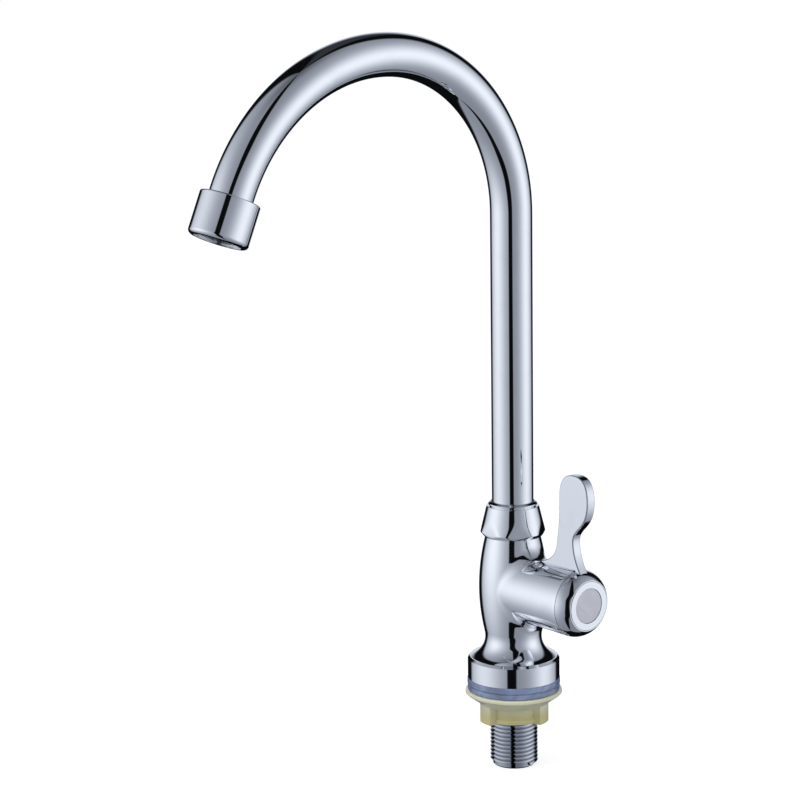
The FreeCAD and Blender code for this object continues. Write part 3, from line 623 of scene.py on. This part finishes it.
def nut_section(foot):
    """The coupling nut's section: foot, cone, groove, collar, throat, washer seat and bore.

    Each corner is a radius, a height above the foot and a rounding, in millimetres.
    """
    bore_r = 11.05
    foot_r = 12.9
    widest_r = 14.3
    cone_top_r = 11.45
    groove_r = 10.1
    collar_r = 10.7
    throat_r = 9.4
    seat_r = 10.6
    seat_foot = 5.5
    seat_top = 9.1
    chamfer_top = 1.7
    cone_top = 13.3
    groove_top = 13.75
    collar_edge = 14.4
    top = 15.3
    corners = (
        (bore_r, 0.0, 0.0), (foot_r, 0.0, 0.3), (widest_r, chamfer_top, 0.5),
        (cone_top_r, cone_top, 0.15), (groove_r, cone_top, 0.0), (groove_r, groove_top, 0.0),
        (collar_r, groove_top, 0.2), (collar_r, collar_edge, 0.4), (throat_r, top, 0.15),
        (throat_r, seat_top, 0.0), (seat_r, seat_top, 0.0), (seat_r, seat_foot, 0.0),
        (bore_r, seat_foot, 0.0))
    in_metres = [(across / 1000, foot + up / 1000, rounding / 1000) for across, up, rounding in corners]
    return rounded_section(in_metres, SECTION_STEP)


def outline_piece(name, points, closed):
    """An object whose mesh is a line through the points, ready for a geometry tree."""
    count = len(points)
    edges = [(start, (start + 1) % count) for start in range(count if closed else count - 1)]
    mesh = bpy.data.meshes.new(name)
    mesh.from_pydata(points, edges, [])
    piece = bpy.data.objects.new(name, mesh)
    bpy.context.scene.collection.objects.link(piece)
    return piece


def spout_route(sizes):
    """Points along the middle of the tube: riser, crown, bend to the outlet, straight tip."""
    def bend(middle_y, middle_z, radius, first, last):
        steps = math.ceil((last - first) / sizes.bend_step)
        turns = [first + (last - first) * count / steps for count in range(1, steps + 1)]
        return [Vector((0.0, middle_y + radius * math.cos(turn), middle_z + radius * math.sin(turn)))
                for turn in turns]

    crown, tip = sizes.crook_radius, sizes.tip_radius
    outlet_turn = sizes.crook_turn + sizes.tip_turn
    middle_y = -crown + (crown - tip) * math.cos(sizes.crook_turn)
    middle_z = sizes.riser_top + (crown - tip) * math.sin(sizes.crook_turn)
    rise = (sizes.riser_top - sizes.riser_foot) / RISER_STEPS
    route = [Vector((0.0, 0.0, sizes.riser_foot + rise * count)) for count in range(RISER_STEPS + 1)]
    route += bend(-crown, sizes.riser_top, crown, 0.0, sizes.crook_turn)
    route += bend(middle_y, middle_z, tip, sizes.crook_turn, outlet_turn)
    along = Vector((0.0, -math.sin(outlet_turn), math.cos(outlet_turn)))
    return route + [route[-1] + along * sizes.tip_length]


def grown_mesh(piece, tree, **values):
    """Run a geometry tree on a piece and keep its result as the piece's plain mesh."""
    modifier = piece.modifiers.new("growth", "NODES")
    modifier.node_group = tree
    for socket in tree.interface.items_tree:
        key = socket.name.lower()
        if socket.in_out == "INPUT" and key in values:
            modifier[socket.identifier] = values[key]
    graph = bpy.context.evaluated_depsgraph_get()
    graph.update()
    mesh = bpy.data.meshes.new_from_object(piece.evaluated_get(graph))
    piece.modifiers.remove(modifier)
    piece.data = mesh
    if not mesh.polygons:
        raise RuntimeError(f"{piece.name} came out empty")
    if mesh.materials[0] is None:
        mesh.materials.pop(index=0)
    mesh.shade_smooth()
    mesh.set_sharp_from_angle(angle=SHARP_ANGLE)


class TAP_OT_spout(bpy.types.Operator):
    """Sweeps the spout's tube along its bends, in place of the solid tube"""

    bl_idname = "tap.spout"
    bl_label = "Spout tube"

    def execute(self, context):
        sizes = context.scene.tap_size
        piece = outline_piece("gooseneck", spout_route(sizes), False)
        grown_mesh(
            piece, shared_group("Hollow tube", hollow_tube_group), radius=sizes.tube_radius,
            wall=sizes.tube_wall, sides=sizes.tube_sides, finish=finish_of("chrome_plate"))
        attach(piece, "spout")
        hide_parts("spout_tube")
        return {"FINISHED"}


class TAP_OT_nut(bpy.types.Operator):
    """Makes the coupling nut with polished flats and a bead, in place of the solid nut"""

    bl_idname = "tap.nut"
    bl_label = "Coupling nut"

    def execute(self, context):
        sizes = context.scene.tap_size
        outline = reversed(nut_section(sizes.nut_foot))
        section = [Vector((point.x - SWEEP_RADIUS, -point.y, 0.0)) for point in outline]
        piece = outline_piece("soft_nut", section, True)
        grown_mesh(
            piece, shared_group("Soft flats", soft_flats_group), sides=sizes.nut_sides,
            flats=sizes.nut_flats, distance=sizes.nut_flat, turn=sizes.nut_turn,
            softness=sizes.nut_softness, finish=finish_of("chrome_plate"))
        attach(piece, "tap_body")
        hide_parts("coupling_nut")
        return {"FINISHED"}


def studio_directions(maker):
    """The turn and the rise of a direction in the studio, in degrees, and its upward part."""
    way = maker.add("ShaderNodeTexCoord").outputs["Generated"]
    front = math.atan2(CAMERA_PLACE[1], CAMERA_PLACE[0])

    def part_along(x, y, z):
        node = maker.add("ShaderNodeVectorMath", operation="DOT_PRODUCT")
        maker.join(way, node.inputs[0])
        node.inputs[1].default_value = (x, y, z)
        return node.outputs["Value"]

    toward = part_along(math.cos(front), math.sin(front), 0.0)
    sideways = part_along(-math.sin(front), math.cos(front), 0.0)
    upward = part_along(0.0, 0.0, 1.0)
    turn = maker.number("MULTIPLY", maker.number("ARCTAN2", sideways, toward), math.degrees(1.0))
    rise = maker.number("MULTIPLY", maker.number("ARCSINE", upward), math.degrees(1.0))
    return turn, rise, upward


def mirrored_light(maker, studio, turn, rise):
    """Strength of what the chrome mirrors: two panels, the dark strip between them, light from behind."""
    def glow(middle_turn, width, middle_rise, height):
        across = maker.number("DIVIDE", maker.number("SUBTRACT", turn, middle_turn), width)
        up = maker.number("DIVIDE", maker.number("SUBTRACT", rise, middle_rise), height)
        square = maker.number("MULTIPLY_ADD", across, across, maker.number("MULTIPLY", up, up))
        return maker.number("EXPONENT", maker.number("MULTIPLY", square, -1.0))

    away = maker.number("ABSOLUTE", turn)
    glows = maker.number("ADD", glow(*LEFT_PANEL), glow(*RIGHT_PANEL))
    panels = maker.number("MULTIPLY_ADD", glows, studio.panel_glow, studio.panel_base)
    panels = maker.number("MULTIPLY", panels, maker.spread(rise, *CEILING_FADE))
    middle = maker.number(
        "ADD", maker.spread(rise, *STRIP_LEAN_ABOVE), maker.spread(rise, *STRIP_LEAN_BELOW))
    half_width = maker.spread(maker.number("ABSOLUTE", rise), *STRIP_HALF_WIDTH)
    off_strip = maker.number("ABSOLUTE", maker.number("SUBTRACT", turn, middle))
    beside = maker.spread(maker.number("SUBTRACT", off_strip, half_width), *STRIP_EDGE)
    panels = maker.number("MULTIPLY", panels, beside)
    panels = maker.number("MULTIPLY", panels, maker.spread(away, *PANELS_END))
    corner = maker.number("MULTIPLY", maker.spread(turn, *CORNER_TURN), maker.spread(rise, *CORNER_RISE))
    panels = maker.number("MULTIPLY", panels, maker.number("SUBTRACT", 1.0, corner))
    behind = maker.number("MULTIPLY", maker.spread(rise, *BEHIND_FOOT), maker.spread(rise, *BEHIND_TOP))
    behind = maker.number("MULTIPLY", behind, maker.spread(away, *BEHIND_TURN, 0.0, studio.back_panel))
    return maker.number("MAXIMUM", maker.number("MAXIMUM", panels, behind), DARKEST_MIRRORED)


def studio_world(studio):
    """White to the camera, mirrored softbox panels to glossy rays and even light to the rest."""
    world = bpy.data.worlds.new("Studio")
    bpy.context.scene.world = world
    world.use_nodes = True
    maker = Maker(world.node_tree)
    maker.tree.nodes.clear()
    turn, rise, upward = studio_directions(maker)
    mirrored = mirrored_light(maker, studio, turn, rise)
    tint = maker.blend(maker.spread(mirrored, 0.2, 1.0), opaque(DIM_TINT), opaque(BRIGHT_TINT))

    reflected = maker.add("ShaderNodeBackground")
    maker.join(tint, reflected.inputs["Color"])
    maker.join(mirrored, reflected.inputs["Strength"])
    even = maker.add("ShaderNodeBackground")
    even.inputs["Color"].default_value = opaque(EVEN_TINT)
    from_below = LIGHT_FROM_BELOW * studio.soft_light
    from_above = LIGHT_FROM_ABOVE * studio.soft_light
    all_round = maker.spread(upward, -1.0, 1.0, from_below, from_above, smooth=False)
    maker.join(all_round, even.inputs["Strength"])
    white = maker.add("ShaderNodeBackground")
    white.inputs["Color"].default_value = opaque(studio.backdrop)
    white.inputs["Strength"].default_value = 1.0
    path = maker.add("ShaderNodeLightPath")
    seen = maker.number("MAXIMUM", path.outputs["Is Camera Ray"], path.outputs["Is Transmission Ray"])
    lit = maker.add("ShaderNodeMixShader")
    maker.join(path.outputs["Is Glossy Ray"], lit.inputs[0])
    maker.join(even.outputs[0], lit.inputs[1])
    maker.join(reflected.outputs[0], lit.inputs[2])
    shown = maker.add("ShaderNodeMixShader")
    maker.join(seen, shown.inputs[0])
    maker.join(lit.outputs[0], shown.inputs[1])
    maker.join(white.outputs[0], shown.inputs[2])
    end = maker.add("ShaderNodeOutputWorld")
    maker.join(shown.outputs[0], end.inputs["Surface"])


def studio_floor(studio):
    """A pale floor that shows white to the camera and still keeps the tap's shadow."""
    lowest = min(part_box(node)[0].z for node in frame["nodes"])
    half = studio.floor_size / 2
    mesh = bpy.data.meshes.new("floor")
    corners = [(-half, -half, lowest), (half, -half, lowest), (half, half, lowest), (-half, half, lowest)]
    mesh.from_pydata(corners, [], [(0, 1, 2, 3)])
    floor = bpy.data.objects.new("floor", mesh)
    bpy.context.scene.collection.objects.link(floor)
    floor.visible_glossy = False
    material, maker, shader = blank_material("Floor paper")
    paper = maker.add("ShaderNodeTexNoise")
    paper.inputs["Scale"].default_value = 9.0
    maker.join(maker.add("ShaderNodeTexCoord").outputs["Object"], paper.inputs["Vector"])
    maker.join(
        maker.blend(paper.outputs[0], opaque(studio.floor), opaque(scaled(studio.floor, 1.02))),
        shader.inputs["Base Color"])
    shader.inputs["Roughness"].default_value = 1.0
    shader.inputs["Specular IOR Level"].default_value = 0.0
    glow = maker.add("ShaderNodeEmission")
    path = maker.add("ShaderNodeLightPath")
    maker.join(maker.number("MULTIPLY", path.outputs["Is Camera Ray"], FLOOR_WHITE), glow.inputs["Strength"])
    both = maker.add("ShaderNodeAddShader")
    maker.join(shader.outputs[0], both.inputs[0])
    maker.join(glow.outputs[0], both.inputs[1])
    end = next(node for node in maker.tree.nodes if node.type == "OUTPUT_MATERIAL")
    maker.join(both.outputs[0], end.inputs["Surface"])
    mesh.materials.append(material)


def studio_camera(studio):
    """The photograph's own view, from above the lever side of the tap."""
    data = bpy.data.cameras.new("camera")
    data.lens = studio.lens
    data.sensor_width = 36.0
    data.sensor_fit = "HORIZONTAL"
    camera = bpy.data.objects.new("camera", data)
    right = Vector(CAMERA_RIGHT)
    up = Vector(CAMERA_UP)
    back = right.cross(up).normalized()
    up = back.cross(right).normalized()
    turned = Matrix((right.normalized(), up, back)).transposed().to_4x4()
    camera.matrix_world = Matrix.Translation(CAMERA_PLACE) @ turned
    bpy.context.scene.collection.objects.link(camera)
    bpy.context.scene.camera = camera


def studio_lamp(name, place, size, power):
    """A large soft lamp aimed at the middle of the tap."""
    data = bpy.data.lights.new(name, "AREA")
    data.size = size
    data.energy = power
    lamp = bpy.data.objects.new(name, data)
    lamp.location = place
    aim = Vector(LAMP_TARGET) - Vector(place)
    lamp.rotation_euler = aim.to_track_quat("-Z", "Y").to_euler()
    lamp.visible_glossy = False
    bpy.context.scene.collection.objects.link(lamp)


class TAP_OT_stage(bpy.types.Operator):
    """Sets the camera, the floor, the lamps and the studio round the tap"""

    bl_idname = "tap.stage"
    bl_label = "Studio"

    def execute(self, context):
        studio = context.scene.tap_studio
        context.scene.view_settings.view_transform = "Standard"
        studio_camera(studio)
        studio_world(studio)
        studio_floor(studio)
        studio_lamp("key lamp", place=(-0.35, -1.3, 1.3), size=0.9, power=studio.key_light)
        studio_lamp("fill lamp", place=(1.5, 0.3, 0.6), size=1.1, power=FILL_SHARE * studio.key_light)
        return {"FINISHED"}


class TAP_PT_panel(bpy.types.Panel):
    """Lists the sizes, the finishes and the steps that make the tap"""

    bl_label = "Kitchen tap"
    bl_space_type = "VIEW_3D"
    bl_region_type = "UI"
    bl_category = "Tap"

    def draw(self, context):
        for settings in (context.scene.tap_size, context.scene.tap_finish, context.scene.tap_studio):
            column = self.layout.column()
            for name in settings.__annotations__:
                column.prop(settings, name)
        for operator in OPERATORS:
            self.layout.operator(operator.bl_idname)


SETTINGS = {"tap_size": TapSizes, "tap_finish": TapFinishes, "tap_studio": TapStudio}
OPERATORS = (TAP_OT_stage, TAP_OT_finishes, TAP_OT_spout, TAP_OT_nut)


def register():
    for name, settings in SETTINGS.items():
        bpy.utils.register_class(settings)
        setattr(bpy.types.Scene, name, PointerProperty(type=settings))
    for operator in OPERATORS:
        bpy.utils.register_class(operator)
    bpy.utils.register_class(TAP_PT_panel)


def unregister():
    bpy.utils.unregister_class(TAP_PT_panel)
    for operator in reversed(OPERATORS):
        bpy.utils.unregister_class(operator)
    for name, settings in reversed(SETTINGS.items()):
        delattr(bpy.types.Scene, name)
        bpy.utils.unregister_class(settings)


def main():
    """Makes the whole tap."""
    register()
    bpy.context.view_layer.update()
    bpy.ops.tap.stage()
    bpy.ops.tap.finishes()
    bpy.ops.tap.spout()
    bpy.ops.tap.nut()


if __name__ == "__main__":
    main()
